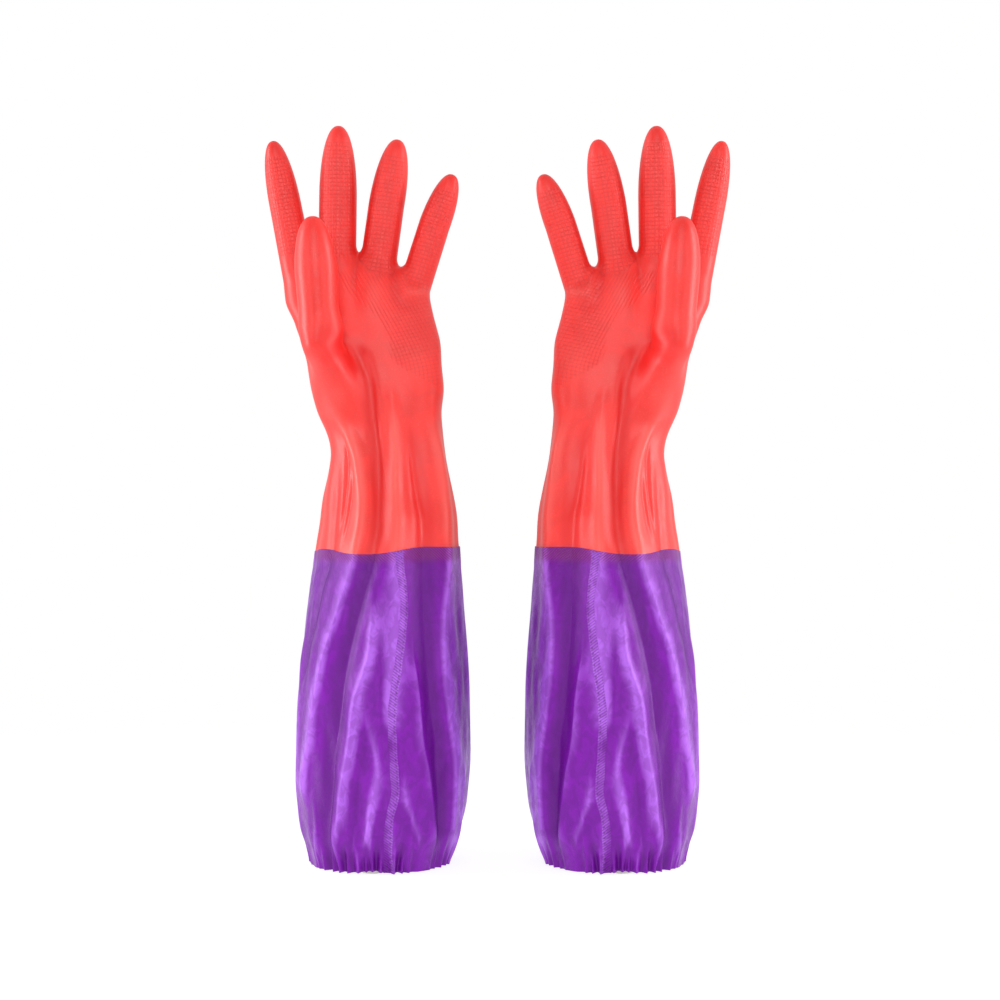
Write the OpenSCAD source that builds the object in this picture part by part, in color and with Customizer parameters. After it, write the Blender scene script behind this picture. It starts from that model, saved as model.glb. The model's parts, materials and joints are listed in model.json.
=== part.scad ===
// A pair of long rubber gloves with fabric sleeves, standing on their elastic hems.
// Each glove is modelled once, as the left one, about its own sleeve axis, and the
// right one is its mirror image. X runs across the pair, -Y is the way the palms
// face, +Z runs from the hems to the fingertips, and the hems stand on Z = 0.

/* [Pair] */
// Distance from the middle of the pair to each sleeve's axis
axis_x = 78; // [66:1:120]

/* [Sleeve] */
// Radius of the sleeve where it bulges most
sleeve_r = 57; // [54:0.5:62]
// Radius of the sleeve at its gathered hem
hem_r = 48; // [46:0.5:52]
// Radius of the gauntlet where the sleeve is sealed over it
band_r = 46; // [44:0.5:47]
// Height of the top of the joint band above the hem
band_top = 214; // [205:1:225]
// Length of the lap between sleeve and gauntlet
lap = 13; // [10:1:18]
// Thickness of the sleeve's fabric
cloth = 0.5; // [0.4:0.1:0.8]

/* [Hem] */
// Height of the folded hem that holds the elastic
hem_h = 9; // [7:1:12]
// Inside radius of the gathered hem, where the arm goes in
mouth_r = 41; // [38:0.5:42]

/* [Rubber] */
// Thickness of the rubber wall
rubber = 0.9; // [0.6:0.1:1.2]
// Thickness of the flock lining
flock = 0.6; // [0.4:0.1:0.8]
// Half the wrist's width
wrist_a = 39; // [37:0.5:42]
// Half the wrist's depth
wrist_b = 27; // [25:0.5:29]
// Height of the wrist's bending line above the hem
wrist_z = 279; // [275:1:286]

/* [Bending] */
// Furthest that the wrist bends forward, in degrees
wrist_forward = 50; // [20:5:50]
// Furthest that the wrist bends backward, in degrees
wrist_backward = 40; // [10:5:40]

/* [Hidden] */
$fn = 64;
hull_fn = 18;
gap = 0.3;              // running clearance at each bending line, on each side of it
skin_gap = 0.12;        // between two layers that lie on each other
wrist_x = 3.2;          // the wrist's middle, from the sleeve's axis
slack = 1;              // what each notch opens past its bending limit, in degrees
far = 200;              // larger than any piece that a cutting block has to cover
ring_n = 44;            // sides of the gauntlet
seam_w = 6;             // width of the sleeve's sealed seam
elastic_w = 5;          // width of the elastic band
elastic_t = 1.6;        // thickness of the elastic band

// One digit: [root joint, lean towards +X, pitch of the two segments towards -Y,
// roll of the bending direction, segment lengths, root and middle radius,
// bending limits of the root and middle joints]
function digit(name) =
    name == "index"  ? [[-61.5, 0, 422], -10.8, [3, 7], 0, [24, 45.5],   [11.5, 10.9], [35, 42]] :
    name == "middle" ? [[-31, 0, 424.5],     1, [3, 7], 0, [27, 49],     [12.9, 12.8], [35, 42]] :
    name == "ring"   ? [[-1, 0, 423.5],    8.2, [3, 7], 0, [24.5, 44],   [12.3, 12],   [50, 60]] :
    name == "little" ? [[29.2, 0, 415.5], 17.8, [3, 7], 0, [19.5, 35],   [11, 10.6],   [50, 60]] :
                     [[-39.5, -40, 360],  -2.8, [6, 6], 90, [34, 39.5],  [14, 13.1],   [30, 36]];
FINGERS = ["index", "middle", "ring", "little"];
DIGITS = concat(FINGERS, ["thumb"]);

function root(d) = d[0];
function heading(d, k) = [d[2][k], d[1], 0];
function direction(d, k) =
    [cos(d[2][k]) * sin(d[1]), -sin(d[2][k]), cos(d[2][k]) * cos(d[1])];
function middle(d) = root(d) + d[4][0] * direction(d, 0);

// The sleeve's radius at height z: it falls away from the bulge as a power of the distance
bulge_low = 70;
bulge_high = 92;
neck_r = band_r + skin_gap + cloth;
function sleeve_at(z) =
    z < bulge_low ? sleeve_r - (sleeve_r - hem_r) * pow((bulge_low - z) / (bulge_low - hem_h), 2.6)
    : z < bulge_high ? sleeve_r
    : z < band_top - lap
        ? sleeve_r - (sleeve_r - neck_r) * pow((z - bulge_high) / (band_top - lap - bulge_high), 1.6)
    : neck_r;

// The gauntlet's half width, half depth and middle at height z
function gauntlet_a(z) = lookup(z, [[band_top, band_r], [248, 42.5], [wrist_z, wrist_a]]);
function gauntlet_b(z) = lookup(z, [[band_top, band_r], [235, 39], [262, 30.5], [wrist_z, wrist_b]]);
function gauntlet_x(z) = lookup(z, [[band_top, 0], [wrist_z, wrist_x]]);

// A closed tube between an outer and an inner stack of rings with equal counts
module tube_loft(outer, inner) {
    n = len(outer[0]);
    m = len(outer);
    points = concat([for (ring = outer) each ring], [for (ring = inner) each ring]);
    in0 = n * m;
    faces = concat(
        [for (j = [0 : m - 2], i = [0 : n - 1])
            [j * n + i, (j + 1) * n + i, (j + 1) * n + (i + 1) % n, j * n + (i + 1) % n]],
        [for (j = [0 : m - 2], i = [0 : n - 1])
            [in0 + j * n + i, in0 + j * n + (i + 1) % n,
             in0 + (j + 1) * n + (i + 1) % n, in0 + (j + 1) * n + i]],
        [for (i = [0 : n - 1]) [i, (i + 1) % n, in0 + (i + 1) % n, in0 + i]],
        [for (i = [0 : n - 1])
            [(m - 1) * n + i, in0 + (m - 1) * n + i,
             in0 + (m - 1) * n + (i + 1) % n, (m - 1) * n + (i + 1) % n]]
    );
    triangles = [for (f = faces) each [[f[0], f[1], f[2]], [f[0], f[2], f[3]]]];
    polyhedron(points = points, faces = triangles, convexity = 6);
}

// The notch at the wrist: how far the gauntlet's edge lies under the bending line at depth y
function notch(y, forward, backward) =
    gap + (y < 0 ? -y * tan(forward / 2 + slack) : y * tan(backward / 2 + slack));

// One ring of the gauntlet, set in from the outside by inset, with its top edge notched
function gauntlet_ring(z, inset, top) = [
    for (i = [0 : ring_n - 1])
        let (t = 360 * i / ring_n,
             y = (gauntlet_b(z) - inset) * sin(t),
             x = gauntlet_x(z) + (gauntlet_a(z) - inset) * cos(t))
        [x, y, top ? wrist_z - notch(y, wrist_forward, wrist_backward) : z]
];

module gauntlet_layer(inset, wall, low) {
    heights = [low, band_top, 224, 236, 248, 258, wrist_z];
    tube_loft(
        [for (z = heights) gauntlet_ring(z, inset, z == wrist_z)],
        [for (z = heights) gauntlet_ring(z, inset + wall, z == wrist_z)]
    );
}

module gauntlet() {
    color("tomato") gauntlet_layer(0, rubber, band_top - lap);
}

module gauntlet_lining() {
    color("seashell") gauntlet_layer(rubber + skin_gap, flock, band_top - lap + 2);
}

// Everything that a piece above a joint gives up: what lies under the joint's plane, and
// the wedges that let it bend towards -Y by front and towards +Y by back, in degrees
module under_joint(front, back) {
    translate([-far / 2, -far, -far]) cube([far, 2 * far, far + gap]);
    rotate([-front, 0, 0]) translate([-far / 2, -far, -far]) cube([far, far, far + gap]);
    rotate([back, 0, 0]) translate([-far / 2, 0, -far]) cube([far, far, far + gap]);
}

module at_joint(point, d, k) {
    translate(point) rotate(heading(d, k)) rotate([0, 0, d[3]]) children();
}

// The outline of one segment of a digit, from its axis out, set in by inset
function segment_outline(r0, r1, length, domed, inset) =
    domed
    ? concat(
        [[r0 - inset, -1]],
        [for (t = [0 : 7.5 : 90]) [(r0 - inset) * pow(cos(t), 0.9), (length - inset) * sin(t)]])
    : [[r0 - inset, -1], [r1 - inset, length + 1]];

// A hollow segment along +Z, closed by a long dome where it is a tip
module segment(r0, r1, length, domed) {
    difference() {
        rotate_extrude() polygon(concat([[0, -1]], segment_outline(r0, r1, length, domed, 0),
                                        domed ? [] : [[0, length + 1]]));
        rotate_extrude() polygon(concat([[0, -2]],
                                        [[r0 - rubber, -2]],
                                        segment_outline(r0, r1, length, domed, rubber),
                                        domed ? [] : [[r1 - rubber, length + 2], [0, length + 2]]));
    }
}

// The root segment of a digit, notched at both ends for its bending
module digit_base(d) {
    bend = d[6];
    pitch_step = d[2][1] - d[2][0];
    at_joint(root(d), d, 0) difference() {
        segment(d[5][0], d[5][1], d[4][0], false);
        under_joint(bend[0] / 2 + slack, 0);
        translate([0, 0, d[4][0]]) mirror([0, 0, 1])
            under_joint((bend[1] + pitch_step) / 2 + slack, 0);
    }
}

// The closed tip of a digit, from its middle joint
module digit_tip(d) {
    bend = d[6];
    pitch_step = d[2][1] - d[2][0];
    at_joint(middle(d), d, 1) difference() {
        segment(d[5][1], 0, d[4][1], true);
        under_joint((bend[1] + pitch_step) / 2 + slack, 0);
    }
}

module ball(point, r) {
    translate(point) sphere(r, $fn = hull_fn);
}

// A disc across a digit's root, which the palm's hulls end on
module root_disc(d, inset, reach) {
    translate(root(d)) rotate(heading(d, 0)) translate([0, 0, -3])
        cylinder(r = d[5][0] - inset, h = 3 + reach, $fn = hull_fn);
}

// Where each finger's ray meets the palm, and the ray's radius there
function knuckle(name) =
    name == "index" ? [[-47.5, 0, 378], 14.8] :
    name == "middle" ? [[-31.5, 0, 383], 15.2] :
    name == "ring" ? [[-6.5, 0, 383], 15.2] : [[20, 0, 372], 15];

// The hand's other round masses: both sides of its heel, and the thumb's mound and root
heel_out = [[21.5, -2, 324], 20];
heel_in = [[-26, -3, 319], 20.3];
mound = [[-27.5, -14, 323], 20.3];
thumb_end = [[-38.5, -34, 349], 13.8];

module mass(at, inset) {
    ball(at[0], at[1] - inset);
}

// The solid hand as far as the digits' roots, set in by inset
module hand_core(inset, reach) {
    hull() {
        for (s = [-1, 1])
            ball([wrist_x + s * (wrist_a - wrist_b), 0, wrist_z - 4], wrist_b - inset);
        mass(heel_out, inset);
        mass(heel_in, inset);
    }
    hull() {
        for (name = FINGERS) mass(knuckle(name), inset);
        mass(heel_out, inset);
        mass(heel_in, inset);
    }
    for (name = FINGERS) hull() {
        mass(knuckle(name), inset + 2);
        root_disc(digit(name), inset, reach);
    }
    hull() {
        mass(mound, inset);
        mass(thumb_end, inset);
        mass(heel_in, inset);
    }
    hull() {
        mass(thumb_end, inset);
        root_disc(digit("thumb"), inset, reach);
    }
    hull() {
        ball([-36, -26, 344], 9 - inset);
        ball([-43, -6, 368], 11 - inset);
        mass(mound, inset + 8);
    }
}

// What the bending lines of the wrist and the digits' roots cut off the hand
module hand_notches() {
    for (name = DIGITS) {
        d = digit(name);
        at_joint(root(d), d, 0) mirror([0, 0, 1]) intersection() {
            under_joint(d[6][0] / 2 + slack, 0);
            cylinder(r = d[5][0] + 1.2, h = 40, center = true, $fn = hull_fn);
        }
    }
    translate([0, 0, wrist_z]) under_joint(wrist_forward / 2 + slack, wrist_backward / 2 + slack);
}

module palm() {
    color("tomato") difference() {
        hand_core(0, 0);
        hand_core(rubber, 2);
        hand_notches();
    }
}

module palm_lining() {
    outside = rubber + skin_gap;
    color("seashell") difference() {
        hand_core(outside, -1);
        hand_core(outside + flock, 2);
        hand_notches();
    }
}

// A ring of cloth that follows the sleeve between two heights
module sleeve_ring(low, high, inset, wall) {
    step = (high - low) / ceil((high - low) / 12);
    outside = [for (z = [low : step : high + 0.01]) [sleeve_at(z) - inset, z]];
    inside = [for (p = outside) [p[0] - wall, p[1]]];
    rotate_extrude() polygon(concat(outside, [for (i = [len(inside) - 1 : -1 : 0]) inside[i]]));
}

module sleeve() {
    color("mediumorchid") sleeve_ring(hem_h, band_top - 1, 0, cloth);
}

// The sealed seam that closes the sleeve, down the middle of its front
module sleeve_seam() {
    color("darkorchid") intersection() {
        sleeve_ring(hem_h + 1, band_top - lap - 1, -skin_gap - cloth, cloth);
        translate([-seam_w / 2, -far, 0]) cube([seam_w, far, far * 2]);
    }
}

// The pressed band that covers the lap
module lap_band() {
    color("indigo") sleeve_ring(band_top - lap, band_top, -skin_gap - cloth, cloth);
}

// The hem, folded in and sealed to make a channel round the mouth
module hem_casing() {
    outside = [[mouth_r, 0.8], [mouth_r + 0.8, 0], [hem_r - 2, 0], [hem_r, 2.5],
               [hem_r, hem_h - skin_gap], [mouth_r, hem_h - skin_gap]];
    color("darkorchid") difference() {
        rotate_extrude() polygon(outside);
        rotate_extrude() hem_channel();
    }
}

module hem_channel() {
    polygon([
        [mouth_r + cloth, 1], [mouth_r + 1.1, cloth], [hem_r - 2.3, cloth], [hem_r - cloth, 2.7],
        [hem_r - cloth, hem_h - skin_gap - cloth], [mouth_r + cloth, hem_h - skin_gap - cloth]
    ]);
}

// The elastic band that gathers the hem, free inside its channel
module elastic() {
    low = (hem_h - elastic_w) / 2 + 0.2;
    color("ivory") rotate_extrude() translate([mouth_r + cloth + 1.5, low]) square([elastic_t, elastic_w]);
}

module on_left() {
    translate([-axis_x, 0, 0]) children();
}

module on_right() {
    mirror([1, 0, 0]) on_left() children();
}

module one_digit_base(name) {
    color("tomato") digit_base(digit(name));
}

module one_digit_tip(name) {
    color("tomato") digit_tip(digit(name));
}

on_left() gauntlet();  // left_gauntlet
on_left() gauntlet_lining();  // left_gauntlet_lining
on_left() palm();  // left_palm
on_left() palm_lining();  // left_palm_lining
on_left() one_digit_base("index");  // left_index_base
on_left() one_digit_tip("index");  // left_index_tip
on_left() one_digit_base("middle");  // left_middle_base
on_left() one_digit_tip("middle");  // left_middle_tip
on_left() one_digit_base("ring");  // left_ring_base
on_left() one_digit_tip("ring");  // left_ring_tip
on_left() one_digit_base("little");  // left_little_base
on_left() one_digit_tip("little");  // left_little_tip
on_left() one_digit_base("thumb");  // left_thumb_base
on_left() one_digit_tip("thumb");  // left_thumb_tip
on_left() sleeve();  // left_sleeve
on_left() sleeve_seam();  // left_sleeve_seam
on_left() lap_band();  // left_lap_band
on_left() hem_casing();  // left_hem_casing
on_left() elastic();  // left_elastic
on_right() gauntlet();  // right_gauntlet
on_right() gauntlet_lining();  // right_gauntlet_lining
on_right() palm();  // right_palm
on_right() palm_lining();  // right_palm_lining
on_right() one_digit_base("index");  // right_index_base
on_right() one_digit_tip("index");  // right_index_tip
on_right() one_digit_base("middle");  // right_middle_base
on_right() one_digit_tip("middle");  // right_middle_tip
on_right() one_digit_base("ring");  // right_ring_base
on_right() one_digit_tip("ring");  // right_ring_tip
on_right() one_digit_base("little");  // right_little_base
on_right() one_digit_tip("little");  // right_little_tip
on_right() one_digit_base("thumb");  // right_thumb_base
on_right() one_digit_tip("thumb");  // right_thumb_tip
on_right() sleeve();  // right_sleeve
on_right() sleeve_seam();  // right_sleeve_seam
on_right() lap_band();  // right_lap_band
on_right() hem_casing();  // right_hem_casing
on_right() elastic();  // right_elastic
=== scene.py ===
"""A pair of long-sleeved rubber gloves, standing on their gathered hems.

The left glove's pieces are worked out first, in the frame's own place and size, and the right
glove's are their mirror images. The rubber skin is where one smooth field of the hand is zero;
the sleeve, lap, seam, hem and elastic are surfaces of two parameters. Lengths are in metres.
"""
import json
import math

import bpy
import numpy as np
from bpy.props import FloatProperty, FloatVectorProperty, IntProperty, PointerProperty
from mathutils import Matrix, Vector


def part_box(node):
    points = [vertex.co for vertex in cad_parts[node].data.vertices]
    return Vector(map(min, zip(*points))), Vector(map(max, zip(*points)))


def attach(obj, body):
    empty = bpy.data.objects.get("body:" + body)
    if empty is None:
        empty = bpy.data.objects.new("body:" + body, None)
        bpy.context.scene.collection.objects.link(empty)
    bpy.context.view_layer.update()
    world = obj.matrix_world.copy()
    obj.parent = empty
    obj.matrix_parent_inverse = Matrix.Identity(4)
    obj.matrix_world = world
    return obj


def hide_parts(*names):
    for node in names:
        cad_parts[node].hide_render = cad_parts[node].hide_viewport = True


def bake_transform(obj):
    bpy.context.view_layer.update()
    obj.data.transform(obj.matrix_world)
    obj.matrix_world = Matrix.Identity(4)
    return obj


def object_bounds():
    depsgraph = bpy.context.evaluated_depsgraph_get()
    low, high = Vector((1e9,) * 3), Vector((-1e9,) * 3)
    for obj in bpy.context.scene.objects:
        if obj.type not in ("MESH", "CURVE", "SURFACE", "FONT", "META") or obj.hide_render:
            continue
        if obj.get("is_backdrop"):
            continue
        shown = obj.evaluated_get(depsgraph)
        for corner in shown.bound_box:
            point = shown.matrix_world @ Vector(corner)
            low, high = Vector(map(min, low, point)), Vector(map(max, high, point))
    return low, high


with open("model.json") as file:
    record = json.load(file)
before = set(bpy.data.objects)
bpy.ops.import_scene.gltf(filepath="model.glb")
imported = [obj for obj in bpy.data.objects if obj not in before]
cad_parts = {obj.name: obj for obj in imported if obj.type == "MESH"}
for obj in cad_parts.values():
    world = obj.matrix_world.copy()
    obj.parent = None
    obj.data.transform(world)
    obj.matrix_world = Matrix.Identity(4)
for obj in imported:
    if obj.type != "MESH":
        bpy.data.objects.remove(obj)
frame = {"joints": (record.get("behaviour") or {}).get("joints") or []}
CAD_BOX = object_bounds()

bl_info = {
    "name": "Long-sleeved rubber gloves",
    "version": (1, 0, 0),
    "blender": (4, 5, 0),
    "location": "3D View > Sidebar > Gloves",
    "description": "Builds a pair of rubber gloves with gathered fabric sleeves",
    "category": "Add Mesh",
}

MM = 0.001
SIDES = ("left", "right")
FINGERS = ("index", "middle", "ring", "little")
DIGITS = FINGERS + ("thumb",)
JOINTS = {joint["name"]: joint for joint in frame["joints"]}


# ---------------------------------------------------------------- sizes and colours


class RubberSizes(bpy.types.PropertyGroup):
    """Sizes of the moulded rubber hands."""

    wall: FloatProperty(
        name="Wall", description="Thickness of the rubber", default=0.9 * MM, unit="LENGTH"
    )
    lining: FloatProperty(
        name="Lining", description="Thickness of the flock lining", default=0.5 * MM, unit="LENGTH"
    )
    web: FloatProperty(
        name="Web", description="Width over which fingers run into the hand", default=9 * MM,
        unit="LENGTH",
    )
    grain: FloatProperty(
        name="Grain", description="Size of the skin's faces", default=1.3 * MM, unit="LENGTH"
    )
    grip_pitch: FloatProperty(
        name="Grip pitch", description="Spacing of the raised grip squares", default=2.7 * MM,
        unit="LENGTH",
    )
    grip_depth: FloatProperty(
        name="Grip depth", description="Height of the grip squares", default=0.2 * MM,
        unit="LENGTH",
    )


class ClothSizes(bpy.types.PropertyGroup):
    """Sizes of the fabric sleeves."""

    thickness: FloatProperty(
        name="Thickness", description="Thickness of the coated fabric", default=0.4 * MM,
        unit="LENGTH",
    )
    fold: FloatProperty(
        name="Fold depth", description="Height of the sleeve's long folds", default=3.2 * MM,
        unit="LENGTH",
    )
    pleats: IntProperty(name="Pleats", description="Small pleats round the hem", default=47)
    pleat_depth: FloatProperty(
        name="Pleat depth", description="Height of the hem's pleats", default=2.4 * MM,
        unit="LENGTH",
    )
    seam_width: FloatProperty(
        name="Seam width", description="Width of the sealed seam", default=5.5 * MM, unit="LENGTH"
    )


class GloveColours(bpy.types.PropertyGroup):
    """Colours of the gloves' materials."""

    rubber: FloatVectorProperty(
        name="Rubber", description="Colour of the rubber", default=(0.92, 0.024, 0.018),
        subtype="COLOR", size=3, min=0, max=1,
    )
    cloth: FloatVectorProperty(
        name="Fabric", description="Colour of the sleeves' fabric", default=(0.19, 0.004, 0.36),
        subtype="COLOR", size=3, min=0, max=1,
    )
    flock: FloatVectorProperty(
        name="Flock", description="Colour of the flock lining", default=(0.86, 0.8, 0.74),
        subtype="COLOR", size=3, min=0, max=1,
    )
    elastic: FloatVectorProperty(
        name="Elastic", description="Colour of the elastic", default=(0.85, 0.82, 0.76),
        subtype="COLOR", size=3, min=0, max=1,
    )


class StageSizes(bpy.types.PropertyGroup):
    """The camera and the floor."""

    distance: FloatProperty(
        name="Distance", description="Camera's distance in front of the gloves", default=1.31,
        unit="LENGTH",
    )
    height: FloatProperty(
        name="Height", description="Camera's height above the floor", default=0.2466,
        unit="LENGTH",
    )
    aside: FloatProperty(
        name="Aside", description="Camera's place to the right of the middle", default=0.0017,
        unit="LENGTH",
    )
    field: FloatProperty(
        name="Field", description="Width seen at the gloves", default=0.6812, unit="LENGTH"
    )
    floor: FloatProperty(
        name="Floor", description="Radius of the pale floor", default=1.6, unit="LENGTH"
    )


# ---------------------------------------------------------------- small maths


def smooth_curve(x, knots, values):
    """A curve through (knots, values): on each span a cubic whose slopes at the knots are those
    of the chord between the knots' neighbours. Outside the knots it keeps the end values."""
    knots, values = np.asarray(knots, float), np.asarray(values, float)
    slopes = np.gradient(values, knots)
    slopes[0] = slopes[-1] = 0
    x = np.clip(x, knots[0], knots[-1])
    i = np.clip(np.searchsorted(knots, x) - 1, 0, len(knots) - 2)
    span = knots[i + 1] - knots[i]
    t = (x - knots[i]) / span
    return (
        values[i] * (1 + 2 * t) * (1 - t) ** 2
        + values[i + 1] * t * t * (3 - 2 * t)
        + span * t * (1 - t) * (slopes[i] * (1 - t) - slopes[i + 1] * t)
    )


def step(x, low, high):
    """0 below low, 1 above high, and 3t^2 - 2t^3 between them."""
    t = np.clip((x - low) / (high - low), 0, 1)
    return t * t * (3 - 2 * t)


def bump(x, middle, width):
    """A bell of height 1 round middle: exp(-((x - middle) / width)^2)."""
    return np.exp(-(((x - middle) / width) ** 2))


def smooth_union(a, b, width):
    """The lesser of two fields, less a rounding of width / 4 where they are equal."""
    near = np.clip(width - np.abs(a - b), 0, None) / width
    return np.minimum(a, b) - near * near * width / 4


def unit(v):
    """v made one long."""
    return v / np.linalg.norm(v)


def point_of(joint):
    """A joint's place, in metres."""
    return np.array(JOINTS[joint]["pos_m"], float)


def turned(v, axis, degrees):
    """v turned about a unit axis: v cos a + (axis x v) sin a + axis (axis . v)(1 - cos a)."""
    a = math.radians(degrees)
    return v * math.cos(a) + np.cross(axis, v) * math.sin(a) + axis * (axis @ v) * (1 - math.cos(a))


# ---------------------------------------------------------------- the long folds

# Each fold: its widths in degrees towards -x and +x, its height in millimetres (below nought for
# a valley), and the height on the glove and angle from the front, in degrees towards +x, that it
# runs through.
FOLDS = (
    (9, 8, 3.8, ((46, -64), (86, -54), (115, -49), (146, -41), (175, -32), (213, -22), (245, -24),
                 (271, -34), (303, -47))),
    (15, 5, -3.6, ((30, -36), (68, -33), (106, -28), (144, -23), (175, -16), (208, -8), (252, -9),
                   (277, -13), (325, -11))),
    (4, 7, 3.8, ((18, -29), (50, -25), (88, -19), (117, -15), (144, -7), (179, -6))),
    (3.5, 4, -1.8, ((12, -19), (25, -17), (57, -14), (107, -9))),
    (3.5, 5, 3.0, ((12, -11), (25, -7), (51, -2), (72, 0), (88, -3), (105, -8))),
    (5, 5, -1.8, ((70, 3), (120, 1), (163, 0))),
    (7, 3.5, 3.0, ((16, 47), (49, 40), (68, 35), (88, 30), (119, 27), (153, 23))),
    (3.5, 5, 2.4, ((17, 32), (35, 26), (50, 19), (69, 18))),
    (12, 8, -3.8, ((22, 52), (55, 46), (87, 42), (118, 38), (156, 35), (207, 36), (252, 41),
                   (292, 39))),
    (4, 16, 3.2, ((6, 69), (46, 62), (79, 57), (105, 51), (176, 51), (207, 61), (245, 68),
                  (303, 63))),
    (7, 8, 3.2, ((95, 6), (140, 9), (176, 11), (213, 10), (245, 11), (277, 13), (313, 20))),
    (2.5, 2.5, -1.1, ((228, -44), (252, -47), (283, -50))),
    (2.2, 2.2, -0.7, ((222, -37), (262, -39))),
    (7, 7, -2.2, ((120, -74), (150, -66), (185, -56), (213, -50), (239, -58), (268, -63))),
    (3.5, 4, 2.2, ((6, -56), (29, -49), (48, -52))),
    (10, 5, 2.4, ((10, -84), (90, -76), (150, -82))),
    (4, 6, 1.6, ((4, 76), (40, 74), (80, 70))),
    (6, 9, 2.6, ((30, 92), (120, 84), (214, 84), (262, 86))),
    (9, 6, -2.4, ((40, 108), (130, 100), (214, 101), (262, 106))),
    (5, 10, 3.2, ((8, 124), (90, 128), (170, 118), (214, 120), (276, 126))),
    (10, 5, -2.8, ((20, 140), (110, 146), (214, 138), (270, 141))),
    (4, 8, 2.8, ((5, 156), (70, 160), (150, 152))),
    (9, 6, -2.6, ((30, 174), (120, 168), (214, 163), (278, 166))),
    (6, 10, 3.2, ((6, 190), (90, 184), (180, 186), (214, 183), (288, 182))),
    (5, 8, -2.2, ((16, 206), (100, 200), (190, 204), (250, 206))),
    (10, 5, 3.0, ((5, 222), (80, 218), (160, 226), (214, 229), (274, 227))),
    (6, 10, -2.5, ((30, 238), (120, 242), (214, 248), (266, 246))),
    (9, 5, 2.8, ((8, 256), (90, 252), (170, 262), (214, 266), (262, 264))),
)
# the fold depth at which the folds have these heights on the fabric
PLAIN_FOLD = 3.2 * MM


def folds(angle, z):
    """Height of the long folds, in millimetres: the sum over the folds of
    height * exp(-|off / width|^n), faded in over 26 mm at the low end and out over 44 mm at the
    high one. On the fabric n is 1.3, which gives sharp crests, and the sides' widths differ. On
    the rubber above it n is 2 and both sides have the mean width."""
    total = np.zeros(np.broadcast(angle, z).shape)
    rubber = step(z, 203, 226)
    for left, right, height, path in FOLDS:
        heights, angles = np.array(path, float).T
        off = (angle - smooth_curve(z, heights, angles) + 180) % 360 - 180
        width = np.where(off < 0, left, right)
        width = width + ((left + right) / 2 - width) * rubber
        ends = step(z, heights[0] - 12, heights[0] + 14)
        ends = ends * (1 - step(z, heights[-1] - 26, heights[-1] + 18))
        total = total + height * ends * np.exp(-np.abs(off / width) ** (1.3 + 0.7 * rubber))
    return total


# ---------------------------------------------------------------- the hand's field


class Digit:
    """One finger or thumb of the left glove, from the frame's joints and boxes."""

    # radius at the root and at the middle joint, and the tip's moulded curl and sideways lean
    # in degrees
    SHAPES = {
        "index": (11.5, 10.8, 4, 0), "middle": (12.9, 12.8, 4, 0), "ring": (12.3, 12.1, 4, 2.4),
        "little": (11.0, 10.6, 4, 3), "thumb": (12.6, 14.1, 0, -1),
    }

    # where each finger's grip starts, along it from its root, in millimetres
    GRIP_LOWS = {"index": -12, "middle": -16, "ring": -27, "little": -29}
    # how far below its root a finger's cone starts inside the hand, and a thumb's
    ROOTED, THUMB_ROOTED = 38 * MM, 6 * MM
    # where the skin is divided, along the digit from its root and from its middle joint
    ROOT_CUT, MIDDLE_CUT = -7.5 * MM, -10 * MM

    def __init__(self, name):
        self.name = name
        root_r, middle_r, curl, lean = self.SHAPES[name]
        self.root_r, self.middle_r = root_r * MM, middle_r * MM
        self.grip_low = self.GRIP_LOWS.get(name, 0) * MM
        self.root, self.middle = point_of(f"left_{name}_root"), point_of(f"left_{name}_middle")
        self.axis = np.array(JOINTS[f"left_{name}_middle"]["axis"], float)
        self.along = unit(self.middle - self.root)
        self.tip_along = turned(turned(self.along, self.axis, curl), np.array([0, 1.0, 0]), lean)
        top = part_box(f"left_{name}_tip")[1].z
        self.tip_length = (top - self.middle[2]) / self.tip_along[2]
        front = np.array([0, -1, 0.0]) if name != "thumb" else np.array([1.0, 0, 0])
        self.across = unit(np.cross(self.along, front))
        self.front = np.cross(self.across, self.along)

    def field(self, p):
        """Distance from the digit: a cone that runs into the hand, then a half ellipsoid."""
        depth = self.THUMB_ROOTED if self.name == "thumb" else self.ROOTED
        inside = self.root - depth * self.along
        cone = cone_field(p, inside, self.middle, self.root_r, self.middle_r)
        v = p - self.middle
        s = v @ self.tip_along
        rho = np.linalg.norm(v - s[:, None] * self.tip_along, axis=1)
        long = np.where(s > 0, self.tip_length, self.middle_r)
        q = ((rho / self.middle_r) ** 2.3 + np.abs(s / long) ** 2.05) ** (1 / 2.2)
        away = np.hypot(rho, s)
        return np.minimum(cone, away - away / np.maximum(q, 1e-4))

    def place(self, p):
        """(distance along the digit from its root, distance from its axis, angle from its front)"""
        bent = (p - self.middle) @ self.along > 0
        v = np.where(bent[:, None], p - self.middle, p - self.root)
        along = np.where(bent[:, None], self.tip_along, self.along)
        s = np.sum(v * along, axis=1)
        out = v - s[:, None] * along
        angle = np.arctan2(out @ self.across, out @ self.front)
        s = s + np.where(bent, np.linalg.norm(self.middle - self.root), 0)
        return s, np.linalg.norm(out, axis=1), angle


def cone_field(p, a, b, r1, r2):
    """Distance from a cone with round ends: the distance from its axis less the radius there,
    where the radius goes evenly from r1 at a to r2 at b."""
    length = np.linalg.norm(b - a)
    along = (b - a) / length
    v = p - a
    s = v @ along
    rho = np.linalg.norm(v - s[:, None] * along, axis=1)
    lean = (r1 - r2) / length
    t = np.clip((s + rho * lean) / length, 0, 1)
    return np.hypot(rho, s - t * length) - (r1 + (r2 - r1) * t)


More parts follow.
